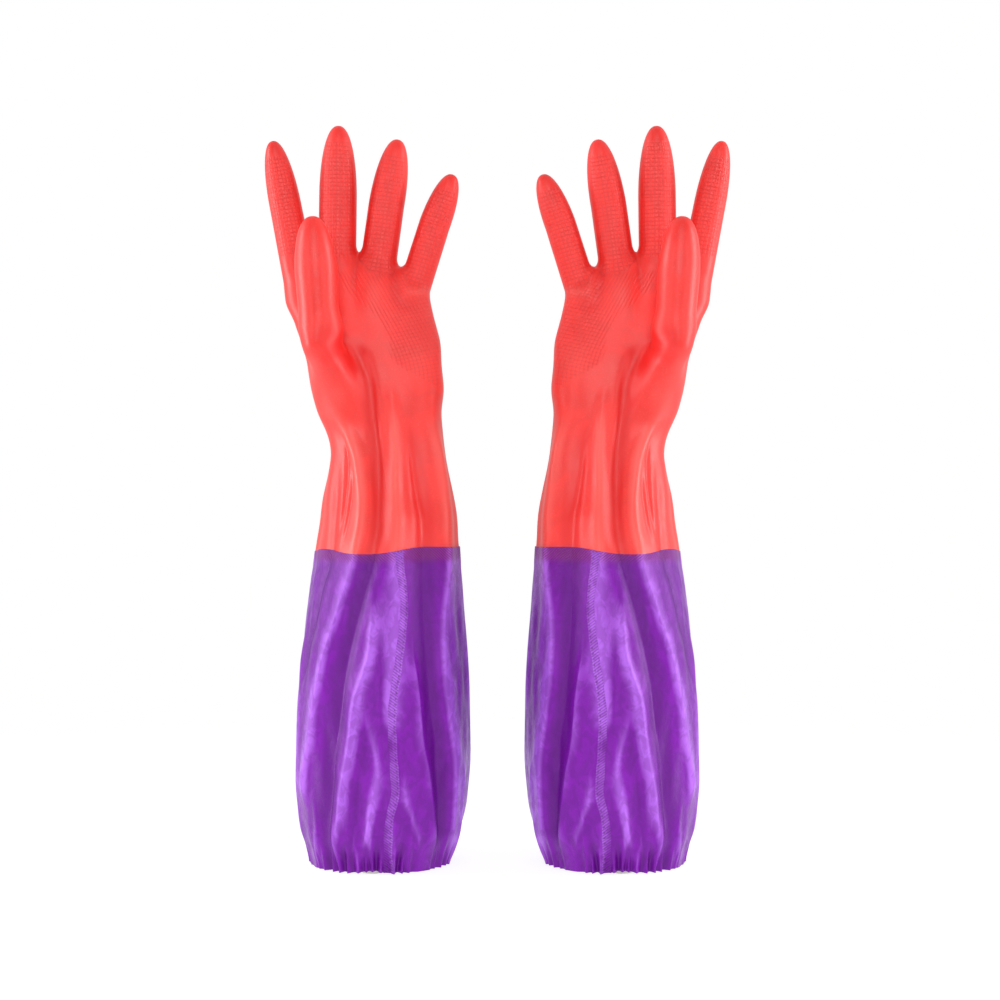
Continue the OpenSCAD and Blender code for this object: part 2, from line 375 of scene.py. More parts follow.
class Hand:
    """The left hand and gauntlet as one field, negative inside. Heights are from the floor, and
    x is from the sleeve's axis, both in millimetres in the lists."""

    # height, middle, half width and half depth of the gauntlet and palm
    STATIONS = np.array([
        (196, 2.4, 47.6, 47.4), (206, 2.6, 47.4, 47.3), (216, 3.0, 46.2, 46.0),
        (232, 3.9, 44.5, 40.6), (250, 3.6, 42.6, 33.0), (266, 3.7, 40.4, 29.0),
        (279, 3.5, 38.9, 27.0), (292, 1.6, 39.3, 25.6), (306, -1.0, 40.9, 24.8),
        (322, -2.8, 44.2, 24.0), (338, -5.6, 45.6, 22.6), (354, -8.4, 47.4, 20.4),
        (370, -12.8, 48.0, 18.2), (386, -14.8, 48.2, 16.4), (402, -17.0, 49.0, 15.2),
    ])
    # x and height of the hand's top edge, where the webs between the fingers lie
    EDGE = np.array([(-78, 397), (-62, 407), (-46, 411), (-31, 413), (-15, 412), (0, 408),
                     (14, 406), (30, 396), (42, 384)])
    EDGE_ROUND = 24 * MM
    # widths over which the mound runs into the palm, the fingers into each other, and the thumb
    # into the hand
    MOUND_WEB, FINGER_WEB, THUMB_WEB = 17 * MM, 2 * MM, 11 * MM
    # the surface is looked for this far past the palm's box to the sides, between these depths,
    # and this far over the fingertips
    BESIDE, FRONT, BACK, ABOVE = 16 * MM, -60 * MM, 52 * MM, 4 * MM
    # the thumb's mound: where it starts in the heel, where it meets the thumb, and its radii
    MOUND = (np.array([-23.5, -8, 316]), np.array([-37.2, -37.5, 354]), 16.5, 14.0)
    # x, height, width, length, depth of the palm's hollows and, below nought, its swellings
    HOLLOWS = ((-30, 352, 9, 9, 2.8), (-21, 343, 10, 10, 3.8), (-14, 334, 7, 11, 3.2),
               (-9, 320, 6, 14, 2.6), (-27, 318, 7, 12, -1.4), (26, 338, 13, 24, -1.6),
               (-55, 349, 6, 8, 2.6), (-6, 385, 9, 13, -1.6), (-18, 400, 3.5, 14, 1.4),
               (7, 400, 4, 9, 2.0), (10, 387, 4.5, 7, 2.0), (18, 378, 8, 4.5, 1.6),
               (15, 397, 3.5, 9, -1.0), (24, 387, 9, 5, -1.8))
    # heights, and the x at which the palm's grip starts at each
    GRIP_EDGE = (318, 326, 338, 357, 368, 392, 400), (44, 30, 9, 3, -3, -29, -31)

    def __init__(self, sizes):
        low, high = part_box("left_sleeve")
        self.axis_x = (low.x + high.x) / 2
        self.web = sizes.web
        self.digits = [Digit(name) for name in DIGITS]

    def sections(self, z):
        """Middle, half width and half depth of the hand at height z."""
        heights = self.STATIONS[:, 0] * MM
        return [smooth_curve(z, heights, self.STATIONS[:, i] * MM) for i in (1, 2, 3)]

    def fold_height(self, p):
        """Height of the folds at the angle and height of each point, in millimetres."""
        x = p[:, 0] - self.axis_x - self.sections(p[:, 2])[0]
        return folds(np.degrees(np.arctan2(x, -p[:, 1])), p[:, 2] / MM)

    def hollow_depth(self, p):
        """Depth of the hollows of the palm's side, in millimetres."""
        x, z = (p[:, 0] - self.axis_x) / MM, p[:, 2] / MM
        depth = np.zeros(len(p))
        for at_x, at_z, wide, tall, deep in self.HOLLOWS:
            depth = depth + deep * bump(x, at_x, wide) * bump(z, at_z, tall)
        return depth * (1 - step(p[:, 1], -10 * MM, 2 * MM))

    def body_field(self, p):
        """The gauntlet and palm: |x/a|^n + |y/b|^n + |over/c|^n = 1, where over is the height over
        the start of the rounded top edge, and n grows from 2 at the cuff to 2.5 in the palm."""
        z = p[:, 2]
        middle, a, b = self.sections(z)
        x = p[:, 0] - self.axis_x - middle
        y = p[:, 1]
        rise = self.fold_height(p) * MM
        a = a + rise
        b = b + rise
        top = smooth_curve(p[:, 0] - self.axis_x, self.EDGE[:, 0] * MM, self.EDGE[:, 1] * MM)
        over = np.clip(z - top + self.EDGE_ROUND, 0, None)
        n = 2 + 0.5 * step(z, 235 * MM, 310 * MM)
        q = (np.abs(x / a) ** n + np.abs(y / b) ** n + (over / self.EDGE_ROUND) ** n) ** (1 / n)
        away = np.sqrt(x * x + y * y + over * over)
        return away - away / np.maximum(q, 1e-4)

    def field(self, p):
        """The whole hand: body and mound run together widely, then the digits more tightly."""
        start, end, r1, r2 = self.MOUND
        offset = np.array([self.axis_x, 0, 0])
        mound = cone_field(p, start * MM + offset, end * MM + offset, r1 * MM, r2 * MM)
        f = smooth_union(self.body_field(p), mound, self.MOUND_WEB)
        first, *others, thumb = self.digits
        fingers = first.field(p)
        for digit in others:
            fingers = smooth_union(fingers, digit.field(p), self.FINGER_WEB)
        f = smooth_union(f, fingers, self.web)
        f = smooth_union(f, thumb.field(p), self.THUMB_WEB)
        return f + self.hollow_depth(p) * MM

    def patterns(self, p, normals):
        """UV maps and strengths of the grip: across and along each finger, fading out from 50 to
        62 degrees from its front, and on the palm two families of lines. The palm's long lines
        lean 30 degrees in its upper part and turn upright below: x + 0.577 times the height over
        340 mm, rounded over 7 mm. The crossing lines follow height, less a quarter of x. The
        relief is the height of the folds, less the hollows, in millimetres."""
        grip, strength = np.zeros((len(p), 2)), np.zeros(len(p))
        nearest = np.full(len(p), 4 * MM)
        for digit in self.digits[:-1]:
            f = digit.field(p)
            s, rho, angle = digit.place(p)
            near = f < nearest
            nearest[near] = f[near]
            tip = np.linalg.norm(digit.middle - digit.root) + digit.tip_length
            width = np.abs(np.degrees(angle))
            ends = step(s, digit.grip_low, digit.grip_low + 5 * MM)
            ends = ends * (1 - step(s, tip - 13 * MM, tip - 9 * MM))
            here = ends * (1 - step(width, 50, 62))
            grip[near] = np.stack([angle * digit.middle_r, s], axis=1)[near]
            strength[near] = here[near]
        x, z = (p[:, 0] - self.axis_x) / MM, p[:, 2] / MM
        fan = x + 0.577 * 7 * np.logaddexp(0, (z - 340) / 7)
        cross = z - 0.25 * x
        left = smooth_curve(z, *self.GRIP_EDGE)
        inside = step(x, left, left + 3) * (1 - step(z, 398, 404)) * step(-normals[:, 1], 0.35, 0.6)
        maps = {"grip_map": grip, "palm_map": np.stack([fan, cross], axis=1) * MM}
        values = {
            "grip_share": strength,
            "palm_share": inside * (1 - strength),
            "cross_share": step(x, 0, 14),
            "relief": self.fold_height(p) * (1 - step(z, 300, 330)) - self.hollow_depth(p),
        }
        return maps, values

    def slope(self, p):
        """The field's gradient, by differences over a fifth of a millimetre."""
        h = 0.2 * MM
        parts = []
        for i in range(3):
            d = np.zeros(3)
            d[i] = h
            parts.append((self.field(p + d) - self.field(p - d)) / (2 * h))
        return np.stack(parts, axis=1)

    def normals(self, p):
        """The gradient made one long: the surface's outward normals."""
        g = self.slope(p)
        return g / np.linalg.norm(g, axis=1, keepdims=True)

    def net(self, bottom, size, level=0.0):
        """The surface where the field has that level, from the height bottom up, as quads."""
        low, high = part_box("left_palm")
        top = max(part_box(f"left_{name}_tip")[1].z for name in DIGITS)
        return surface_net(
            lambda p: self.field(p) - level,
            (low.x - self.BESIDE, self.FRONT, bottom - 0.5 * size),
            (high.x + self.BESIDE, self.BACK, top + self.ABOVE), size,
        )

    def owners(self, p):
        """Which digit each point belongs to, -1 for the hand, and its part: 0 base, 1 tip."""
        owner, part = np.full(len(p), -1), np.zeros(len(p), int)
        nearest = np.full(len(p), 3 * MM)
        for i, digit in enumerate(self.digits):
            f = digit.field(p)
            s = (p - digit.root) @ digit.along
            mine = (s > digit.ROOT_CUT) & (f < nearest)
            owner[mine] = i
            nearest[mine] = f[mine]
            part[mine] = (p[mine] - digit.middle) @ digit.along > digit.MIDDLE_CUT
        return owner, part

    def settled(self, p, level=0.0, rounds=2):
        """Points moved along the gradient onto the surface where the field has that level."""
        for _ in range(rounds):
            g = self.slope(p)
            f = self.field(p) - level
            p = p - (f / np.maximum((g * g).sum(1), 1e-6))[:, None] * g
        return p


def surface_net(field, low, high, size):
    """The surface where field is 0, as quads: a grid of cells fills the box, each cell that the
    surface crosses gets one point, the mean of the crossings on its edges, and each grid edge
    that is crossed joins the four cells round it. A hand with five digits has no single grid of
    two parameters, so this stands in for one."""
    counts = np.ceil((np.array(high) - low) / size).astype(int) + 1
    axes = [low[i] + size * np.arange(counts[i]) for i in range(3)]
    values = np.empty(counts)
    for k, z in enumerate(axes[2]):
        x, y = np.meshgrid(axes[0], axes[1], indexing="ij")
        flat = np.stack([x.ravel(), y.ravel(), np.full(x.size, z)], axis=1)
        values[:, :, k] = field(flat).reshape(x.shape)
    inside = values < 0
    corners = [(i, j, k) for i in (0, 1) for j in (0, 1) for k in (0, 1)]

    def shifted(a, c):
        return a[tuple(slice(c[i], a.shape[i] - 1 + c[i]) for i in range(3))]

    count = sum(shifted(inside, c).astype(int) for c in corners)
    crossed = (count > 0) & (count < 8)
    index = np.full(crossed.shape, -1)
    index[crossed] = np.arange(crossed.sum())
    base = np.argwhere(crossed)
    total, hits = np.zeros((len(base), 3)), np.zeros(len(base))
    for c in corners:
        for axis in range(3):
            if c[axis]:
                continue
            d = list(c)
            d[axis] = 1
            va, vb = shifted(values, c)[crossed], shifted(values, d)[crossed]
            cut = (va < 0) != (vb < 0)
            t = np.where(cut, va / np.where(cut, va - vb, 1), 0)
            place = base + np.array(c, float)
            place[:, axis] += t
            total += place * cut[:, None]
            hits += cut
    points = np.array(low) + size * total / hits[:, None]
    quads = []
    for axis in range(3):
        u, v = (axis + 1) % 3, (axis + 2) % 3
        lower = [slice(1, -1)] * 3
        lower[axis] = slice(0, -1)
        upper = list(lower)
        upper[axis] = slice(1, None)
        a, b = inside[tuple(lower)], inside[tuple(upper)]
        at = np.argwhere(a != b)
        rising = a[a != b]
        offset = np.zeros(3, int)
        offset[[u, v]] = 1
        at = at + offset
        ring = []
        for du, dv in ((-1, -1), (0, -1), (0, 0), (-1, 0)):
            cell = at.copy()
            cell[:, u] += du
            cell[:, v] += dv
            ring.append(index[tuple(cell.T)])
        ring = np.stack(ring, axis=1)
        quads.append(np.where(rising[:, None], ring, ring[:, ::-1]))
    return points, np.concatenate(quads)


def relaxed(points, quads, settle, rounds):
    """Points evened out: each goes half way to the mean of its neighbours, then back onto the
    surface. Points on an open edge stay where they are."""
    edges = np.concatenate([quads[:, [i, (i + 1) % 4]] for i in range(4)])
    both = np.sort(edges, axis=1)
    _, first, uses = np.unique(both, axis=0, return_index=True, return_counts=True)
    edges = both[first]
    fixed = np.zeros(len(points), bool)
    fixed[edges[uses == 1].ravel()] = True
    degree = np.bincount(edges.ravel(), minlength=len(points))[:, None]
    for _ in range(rounds):
        total = np.zeros_like(points)
        for i in range(3):
            total[:, i] = np.bincount(edges[:, 0], points[edges[:, 1], i], len(points))
            total[:, i] += np.bincount(edges[:, 1], points[edges[:, 0], i], len(points))
        moved = (points + total / degree) / 2
        moved[fixed] = points[fixed]
        points = settle(moved)
    return points


# ---------------------------------------------------------------- meshes


def open_edges(quads):
    """The edges that only one quad uses, in that quad's direction."""
    edges = np.concatenate([quads[:, [i, (i + 1) % 4]] for i in range(4)])
    size = edges.max() + 1
    keys = edges[:, 0] * size + edges[:, 1]
    return edges[~np.isin(keys, edges[:, 1] * size + edges[:, 0])]


def walled(points, quads, normals, wall):
    """A surface and its copy moved inwards by wall along the normals, joined at the open edges."""
    count = len(points)
    rim = open_edges(quads)
    strips = np.stack([rim[:, 1], rim[:, 0], rim[:, 0] + count, rim[:, 1] + count], axis=1)
    points = np.concatenate([points, points - wall * normals])
    quads = np.concatenate([quads, quads[:, ::-1] + count, strips])
    return points, quads, np.concatenate([normals, -normals])


def wrapped_grid(rows, columns):
    """Quads of a grid whose last column joins its first."""
    r, c = np.meshgrid(np.arange(rows - 1), np.arange(columns), indexing="ij")
    a, b = r * columns + c, r * columns + (c + 1) % columns
    return np.stack([a, b, b + columns, a + columns], axis=-1).reshape(-1, 4)


def open_grid(rows, columns):
    """Quads of a grid with four open sides."""
    r, c = np.meshgrid(np.arange(rows - 1), np.arange(columns - 1), indexing="ij")
    a = r * columns + c
    return np.stack([a, a + 1, a + 1 + columns, a + columns], axis=-1).reshape(-1, 4)


def grid_normals(points, wraps):
    """Outward normals of a grid of points: the slope along a row crossed with the slope along a
    column."""
    if wraps:
        across = np.roll(points, -1, axis=1) - np.roll(points, 1, axis=1)
    else:
        across = np.gradient(points, axis=1)
    normals = np.cross(across, np.gradient(points, axis=0))
    return normals / np.maximum(np.linalg.norm(normals, axis=-1, keepdims=True), 1e-12)


def add_piece(name, points, quads, normals, uvs, values, material, right):
    """A mesh object. uvs are UV maps, a pair of numbers for each point, and values are numbers
    for each point. The right glove's copy is the mirror image: x changes sign, and each face is
    listed backwards so that it still faces outwards."""
    if right:
        points, normals = points * (-1, 1, 1), normals * (-1, 1, 1)
        quads = quads[:, ::-1]
    mesh = bpy.data.meshes.new(name)
    mesh.vertices.add(len(points))
    mesh.vertices.foreach_set("co", points.astype(np.float32).ravel())
    mesh.loops.add(quads.size)
    mesh.loops.foreach_set("vertex_index", quads.astype(np.int32).ravel())
    mesh.polygons.add(len(quads))
    mesh.polygons.foreach_set("loop_start", np.arange(0, quads.size, 4, dtype=np.int32))
    mesh.update(calc_edges=True)
    mesh.shade_smooth()
    for key, uv in uvs.items():
        layer = mesh.uv_layers.new(name=key)
        layer.data.foreach_set("uv", uv[quads.ravel()].astype(np.float32).ravel())
    for key, value in values.items():
        layer = mesh.attributes.new(key, "FLOAT", "POINT")
        layer.data.foreach_set("value", value.astype(np.float32))
    mesh.normals_split_custom_set_from_vertices(normals.tolist())
    mesh.materials.append(material)
    piece = bpy.data.objects.new(name, mesh)
    bpy.context.scene.collection.objects.link(piece)
    return piece


def doubled(array):
    """Values for a wall's outer points, repeated for its inner points."""
    return np.concatenate([array, array])


def grid_wall(points, wraps, wall):
    """A grid of points as a wall with two sides, closed into a ring if it wraps."""
    quads = (wrapped_grid if wraps else open_grid)(*points.shape[:2])
    normals = grid_normals(points, wraps).reshape(-1, 3)
    return walled(points.reshape(-1, 3), quads, normals, wall)


def mirrored(place, right):
    """A place on the left glove, or the same place on the right one."""
    place = np.array(place, float)
    return tuple(place * (-1, 1, 1)) if right else tuple(place)


# ---------------------------------------------------------------- materials


class Wire:
    """The output of a shader node. Sums, products and powers of wires add Math nodes."""

    def __init__(self, graph, socket):
        self.graph, self.socket = graph, socket

    def maths(self, operation, *others):
        """A Math node on this wire and the others, which may be plain numbers."""
        return self.graph.node(
            "ShaderNodeMath", {"operation": operation}, dict(enumerate((self,) + others))
        )

    def __add__(self, other):
        return self.maths("ADD", other)

    __radd__ = __add__

    def __mul__(self, other):
        return self.maths("MULTIPLY", other)

    __rmul__ = __mul__

    def __sub__(self, other):
        return self.maths("SUBTRACT", other)

    def __rsub__(self, other):
        return self.maths("MULTIPLY", -1.0) + other

    def __pow__(self, other):
        return self.maths("POWER", other)


class Graph:
    """The node tree of a material or a world."""

    def __init__(self, owner):
        self.owner = owner
        owner.use_nodes = True
        self.tree = owner.node_tree
        self.tree.nodes.clear()

    def node(self, kind, settings, sockets, output=0):
        """A node of any kind: its settings first, then the values or wires of its sockets."""
        made = self.tree.nodes.new(kind)
        for key, value in settings.items():
            if key == "stops":
                for i, (place, colour) in enumerate(value):
                    if i > 1:
                        made.color_ramp.elements.new(place)
                    made.color_ramp.elements[i].position = place
                    made.color_ramp.elements[i].color = colour
            else:
                setattr(made, key, value)
        for key, value in sockets.items():
            if isinstance(value, Wire):
                self.tree.links.new(value.socket, made.inputs[key])
            else:
                made.inputs[key].default_value = value
        return Wire(self, made.outputs[output])

    def uv(self, name):
        """A UV map's across, along and vector wires."""
        vector = self.node("ShaderNodeUVMap", {"uv_map": name}, {})
        parts = [self.node("ShaderNodeSeparateXYZ", {}, {0: vector}, i) for i in (0, 1)]
        return parts[0], parts[1], vector

    def value(self, name):
        """The wire of a number that each point of the mesh holds."""
        return self.node("ShaderNodeAttribute", {"attribute_name": name}, {}, "Fac")

    def noise(self, vector, scale, detail=3.0, rough=0.5, distortion=0.0):
        """Noise from 0 to 1, with scale features to the metre."""
        return self.node(
            "ShaderNodeTexNoise", {},
            {"Vector": vector, "Scale": scale, "Detail": detail, "Roughness": rough,
             "Distortion": distortion},
        )

    def mixed(self, factor, a, b):
        """Colour a where factor is 0, and b where it is 1."""
        return self.node("ShaderNodeMix", {"data_type": "RGBA"}, {0: factor, 6: a, 7: b}, 2)

    def ranged(self, wire, low, high, to_low=0.0, to_high=1.0):
        """A wire's range low to high made to_low to to_high, smoothly and held at the ends."""
        return self.node(
            "ShaderNodeMapRange", {"interpolation_type": "SMOOTHSTEP"},
            {0: wire, 1: low, 2: high, 3: to_low, 4: to_high},
        )

    def finished(self, colour, roughness, height, **settings):
        """The material: a Principled surface bumped by a height in metres."""
        normal = self.node(
            "ShaderNodeBump", {}, {"Height": height, "Strength": 1.0, "Distance": 1.0}
        )
        sockets = {"Base Color": colour, "Roughness": roughness, "Normal": normal}
        sockets.update({key.replace("_", " "): value for key, value in settings.items()})
        return self.end(self.node("ShaderNodeBsdfPrincipled", {}, sockets))

    def end(self, surface, kind="ShaderNodeOutputMaterial"):
        """The output node. Gives back the material or world."""
        out = self.tree.nodes.new(kind)
        self.tree.links.new(surface.socket, out.inputs["Surface"])
        return self.owner


def new_graph(name):
    """An empty node tree of a new material."""
    return Graph(bpy.data.materials.new(name))


def tinted(colour, amount):
    """A colour with every part multiplied by amount, as four numbers."""
    return tuple(min(part * amount, 1.0) for part in colour) + (1.0,)


def rubber_material(sizes, colours):
    """Moulded rubber: grip squares on the fingers and crossing lines on the palm are grooves,
    where the distance to a grid line is |sin(pi t / pitch)|, and the rest has a faint dimpling
    from the former. The colour has painted shade, darker and deeper red in the folds and hollows
    and in the grip's grooves, and a painted highlight, paler over the folds' crests."""
    g = new_graph("red_rubber")
    turn = math.pi / sizes.grip_pitch

    def groove(along, sharp):
        return (1 - (along * turn).maths("SINE").maths("ABSOLUTE")) ** sharp

    across, along, _ = g.uv("grip_map")
    squares = groove(across, 2.0).maths("MAXIMUM", groove(along, 2.0)) * g.value("grip_share")
    fan, cross, _ = g.uv("palm_map")
    lines = groove(fan, 2.0) * 0.7 + groove(cross, 2.0) * g.value("cross_share") * 0.6
    lines = lines * g.value("palm_share")
    place = g.node("ShaderNodeTexCoord", {}, {}, "Object")
    fine = g.noise(place, 900.0, 2.0)
    broad = g.noise(place, 45.0, 3.0, 0.55, 0.6)
    height = squares * -sizes.grip_depth + lines * (-1.1 * sizes.grip_depth)
    height = height + fine * (0.03 * MM) + broad * (0.35 * MM)
    base = g.mixed(
        g.ranged(broad, 0.35, 0.68), tinted(colours.rubber, 0.93), tinted(colours.rubber, 1.05)
    )
    dust_and_painted_light = g.mixed(g.ranged(fine, 0.5, 0.8, 0.0, 0.12), base, (1.0, 0.22, 0.17, 1))
    relief = g.value("relief")
    # painted shade: darker, deeper red colour where the relief is low, in the folds' valleys and
    # the palm's hollows
    dust_and_painted_light = g.mixed(g.ranged(relief, 0.3, -2.4, 0.0, 0.85), dust_and_painted_light, (0.8, 0.006, 0.004, 1))
    # painted highlight: paler pink colour where the relief is high, over the folds' crests
    dust_and_painted_light = g.mixed(g.ranged(relief, 0.4, 3.2, 0.0, 0.45), dust_and_painted_light, (1.0, 0.15, 0.125, 1))
    # painted shade: darker colour in the grooves of the grip squares and the palm's lines
    painted_groove_shade_colour = g.mixed(squares * 0.42 + lines * 0.35, dust_and_painted_light, tinted(colours.rubber, 0.7))
    roughness = g.ranged(broad, 0.3, 0.7, 0.38, 0.46) + squares * 0.1
    return g.finished(
        painted_groove_shade_colour, roughness, height, Sheen_Weight=0.06, Sheen_Roughness=0.35,
        Sheen_Tint=(1.0, 0.62, 0.56, 1), Subsurface_Weight=0.12, Subsurface_Radius=(0.9, 0.2, 0.15),
        Subsurface_Scale=1.2 * MM, Specular_IOR_Level=0.65,
    )


def cloth_colour(g, colours, vector):
    """Leafy mottling of the coated fabric: warped noise drawn out along the sleeve, in two
    tones, and a slow drift of tone over the whole sleeve. Painted shade darkens the colour in the
    folds' valleys and a painted highlight makes it pale lilac along the crests, where the attribute
    "crest" is the height over the round shape in millimetres."""
    long = g.node("ShaderNodeMapping", {}, {"Vector": vector, "Scale": (1.0, 0.62, 1.0)})
    leaves = g.ranged(g.noise(long, 150.0, 3.0, 0.6, 0.9), 0.4, 0.62)
    drift = g.noise(long, 22.0, 2.0)
    crest = g.value("crest")
    base = g.mixed(leaves * 0.5, tinted(colours.cloth, 0.84), tinted(colours.cloth, 1.35))
    base = g.mixed(g.ranged(drift, 0.35, 0.7, 0.0, 0.3), base, tinted(colours.cloth, 0.8))
    # painted shade: darker colour where crest is low, in the folds' valleys
    base = g.mixed(g.ranged(crest, 0.6, -2.4, 0.0, 0.65), base, tinted(colours.cloth, 0.45))
    # painted highlight: pale lilac colour where crest is high, along the folds' crests
    painted_crest_highlight = g.ranged(crest, 0.5, 3.0, 0.0, 0.62) * (leaves * 0.4 + 0.7)
    return g.mixed(painted_crest_highlight, base, (0.54, 0.19, 0.93, 1)), leaves


# distances between the fabric's threads and between the ribs of the welded hatch
THREAD_PITCH, HATCH_PITCH = 0.35 * MM, 1.5 * MM


def cloth_material(name, colours, hatch, shade=0.0, fade=None, stitches=False):
    """Satiny coated fabric. The weave is two crossed waves. hatch is the height of the slanting
    welded hatch, nought for plain fabric, and shade is how dark its grooves are. fade is the pair
    of heights between which the hatch comes in. stitches adds a dimple to every second groove,
    beside the middle."""
    g = new_graph(name)
    across, along, vector = g.uv("cloth")
    base, leaves = cloth_colour(g, colours, vector)
    thread = 2 * math.pi / THREAD_PITCH
    weave = (across * thread).maths("SINE") * (along * thread).maths("SINE")
    creases = g.noise(vector, 210.0, 4.0, 0.6, 0.5)
    height = weave * (0.012 * MM) + creases * (0.32 * MM) + leaves * (0.03 * MM)
    roughness = g.ranged(leaves, 0.0, 1.0, 0.37, 0.29)
    if hatch:
        turn = 2 * math.pi / HATCH_PITCH
        share = g.ranged(along, fade[0], fade[1]) if fade else 1.0
        slant = across * 0.57 + along * 0.82
        ribs = (slant * turn).maths("SINE")
        low = g.ranged(ribs, -0.9, 0.4, 1.0, 0.0) * share
        height = height + ribs * share * hatch
        if stitches:
            beside = g.ranged((across - 1.3 * MM).maths("ABSOLUTE"), 0.3 * MM, 0.75 * MM, 1.0, 0.0)
            dots = g.ranged((slant * (turn / 2)).maths("SINE"), 0.1, 0.8) * beside
            height = height - dots * (0.25 * MM)
            low = low.maths("MAXIMUM", dots * 1.2)
        base = g.mixed(low * shade, base, tinted(colours.cloth, 0.16))
        roughness = roughness + low * 0.15
    if fade:
        red = g.ranged(along, fade[0], fade[1], 0.0, 0.32)
        base = g.mixed(red, base, (0.36, 0.05, 0.2, 1))
    return g.finished(
        base, roughness, height, Sheen_Weight=0.04, Sheen_Roughness=0.35,
        Sheen_Tint=(0.8, 0.45, 1.0, 1), Specular_IOR_Level=0.55, Specular_Tint=(0.8, 0.45, 1.0, 1),
    )


def flock_material(colours):
    """Short cotton flock: pale, rough and finely speckled."""
    g = new_graph("flock")
    place = g.node("ShaderNodeTexCoord", {}, {}, "Object")
    speck = g.noise(place, 2200.0, 4.0, 0.7)
    base = g.mixed(
        g.ranged(speck, 0.35, 0.7), tinted(colours.flock, 0.86), tinted(colours.flock, 1.05)
    )
    return g.finished(base, 0.95, speck * (0.25 * MM), Sheen_Weight=0.4, Sheen_Roughness=0.6)


def elastic_material(colours):
    """Braided elastic: ribs round the band, 0.9 mm apart, crossed by fine braiding."""
    g = new_graph("elastic_webbing")
    across, along, _ = g.uv("cloth")
    ribs = (along * (2 * math.pi / (0.9 * MM))).maths("SINE")
    braid = ((across + along * 0.5) * (2 * math.pi / (0.7 * MM))).maths("SINE")
    base = g.mixed(
        g.ranged(ribs, -1.0, 0.6), tinted(colours.elastic, 0.72), tinted(colours.elastic, 1.0)
    )
    return g.finished(base, 0.8, ribs * (0.14 * MM) + braid * (0.06 * MM), Sheen_Weight=0.2)


# ---------------------------------------------------------------- rubber skin and lining


# how far below and above the wrist lie the places passed to bend
WRIST_REACH = (0, 0, 25 * MM)


def settings():
    """The scene's sizes and colours."""
    scene = bpy.context.scene
    return scene.glove_rubber, scene.glove_cloth, scene.glove_colours, scene.glove_stage


def bend(piece, side, start, end):
    """Bakes the piece's place into its mesh. The smooth turn from one body to the next is not
    made: the two places on the left glove are mirrored for the right one, and not used.
    """
    right = side == "right"
    mirrored(start, right)
    mirrored(end, right)
    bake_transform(piece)


def bend_wrist(piece, side):
    """Passes places below and above the wrist to bend, which bakes the piece's place; no turn
    from the forearm to the hand is made.
    """
    wrist = point_of("left_wrist")
    bend(piece, side, wrist - WRIST_REACH, wrist + WRIST_REACH)


class GLOVES_OT_skin(bpy.types.Operator):
    """The rubber hands: one moulded skin per glove, cut where its fingers and thumb bend"""

    bl_idname = "gloves.skin"
    bl_label = "Rubber skins"

    # how far past a digit's root lies the end place passed to bend
    ROOT_REACH = 11 * MM

    def execute(self, context):
        rubber, _, colours, _ = settings()
        hand = Hand(rubber)
        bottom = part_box("left_gauntlet")[0].z
        points, quads = hand.net(bottom, rubber.grain)
        edge = np.unique(open_edges(quads))
        points = hand.settled(points)
        points[edge, 2] = bottom
        points = relaxed(points, quads, lambda p: hand.settled(p, rounds=1), 3)
        points[edge, 2] = bottom
        normals = hand.normals(points)
        owner, part = hand.owners(points[quads].mean(axis=1))
        uvs, values = hand.patterns(points, normals)
        material = rubber_material(rubber, colours)
        kinds = [("hand", -1, 0, None)]
        for i, digit in enumerate(hand.digits):
            kinds += [(digit.name + "_base", i, 0, digit), (digit.name + "_tip", i, 1, digit)]
        for side in SIDES:
            for name, index, number, digit in kinds:
                chosen = quads[(owner == index) & (part == number)]
                used, faces = np.unique(chosen, return_inverse=True)
                wall = walled(points[used], faces.reshape(-1, 4), normals[used], rubber.wall)
                piece = add_piece(
                    f"{side}_{name}_skin", *wall,
                    {key: doubled(uv[used]) for key, uv in uvs.items()},
                    {key: doubled(value[used]) for key, value in values.items()},
                    material, side == "right",
                )
                self.join(piece, side, digit, number)
        return {"FINISHED"}

    def join(self, piece, side, digit, number):
        """Hides the CAD nodes that the piece replaces, and passes places across its joint to bend,
        which makes no turn.
        """
        if digit is None:
            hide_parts(side + "_gauntlet", side + "_palm")
            bend_wrist(piece, side)
        elif number == 0:
            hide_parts(f"{side}_{digit.name}_base")
            start = digit.root + digit.ROOT_CUT * digit.along
            end = digit.root + self.ROOT_REACH * digit.along
            bend(piece, side, start, end)
        else:
            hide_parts(f"{side}_{digit.name}_tip")
            start = digit.middle + digit.MIDDLE_CUT * digit.along
            end = digit.middle - digit.MIDDLE_CUT * digit.along
            bend(piece, side, start, end)


class GLOVES_OT_lining(bpy.types.Operator):
    """The flock lining inside each hand and gauntlet"""

    bl_idname = "gloves.lining"
    bl_label = "Flock linings"

    # size of the lining's faces, and its distance from the rubber
    GRAIN, GAP = 2.4 * MM, 0.15 * MM

    def execute(self, context):
        rubber, _, colours, _ = settings()
        hand = Hand(rubber)
        level = -(rubber.wall + self.GAP)
        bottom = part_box("left_gauntlet_lining")[0].z
        points, quads = hand.net(bottom, self.GRAIN, level)
        owner, _ = hand.owners(points[quads].mean(axis=1))
        used, faces = np.unique(quads[owner == -1], return_inverse=True)
        points = hand.settled(points[used], level)
        points[:, 2] = np.maximum(points[:, 2], bottom)
        wall = walled(points, faces.reshape(-1, 4), hand.normals(points), rubber.lining)
        material = flock_material(colours)
        for side in SIDES:
            piece = add_piece(side + "_flock", *wall, {}, {}, material, side == "right")
            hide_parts(side + "_gauntlet_lining", side + "_palm_lining")
            bend_wrist(piece, side)
        return {"FINISHED"}


# ---------------------------------------------------------------- the fabric sleeve


